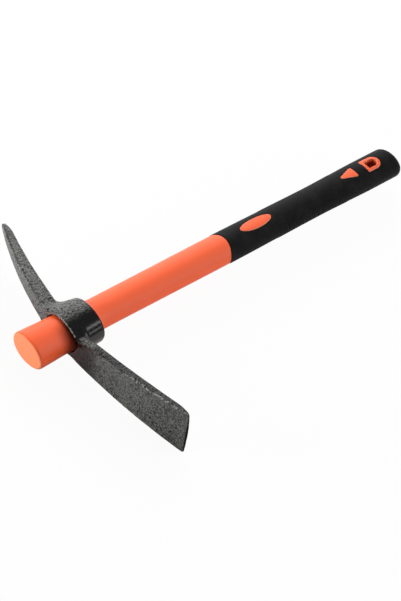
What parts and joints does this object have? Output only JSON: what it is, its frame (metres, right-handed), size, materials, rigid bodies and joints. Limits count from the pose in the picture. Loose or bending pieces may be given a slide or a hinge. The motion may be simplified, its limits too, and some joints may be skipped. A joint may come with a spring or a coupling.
{
  "type": "pick mattock",
  "caption": "Small pick mattock: a forged head with a curved pick tine and a flat mattock blade on an oval cored handle with a soft windowed grip and a hanging hole.",
  "frame": {"origin": "middle of the handle's flat head end", "axes": "+Y along the handle towards the butt, +X along the mattock blade, +Z square to the plane shared by the tine, the blade and the handle"},
  "size_m": [0.2549, 0.4008, 0.0428],
  "materials": {
    "painted_forging": "dark hammered paint, satin, worn bright along a few edges",
    "orange_jacket": "smooth moulded plastic with a soft sheen",
    "black_soft_grip": "matte soft rubber with fine cross ribs on its sides",
    "fibreglass": "plain pultruded bar"
  },
  "bodies": {
    "root": {"forged_head": "painted_forging", "handle_jacket": "orange_jacket", "soft_grip": "black_soft_grip", "handle_core": "fibreglass"}
  },
  "joints": []
}
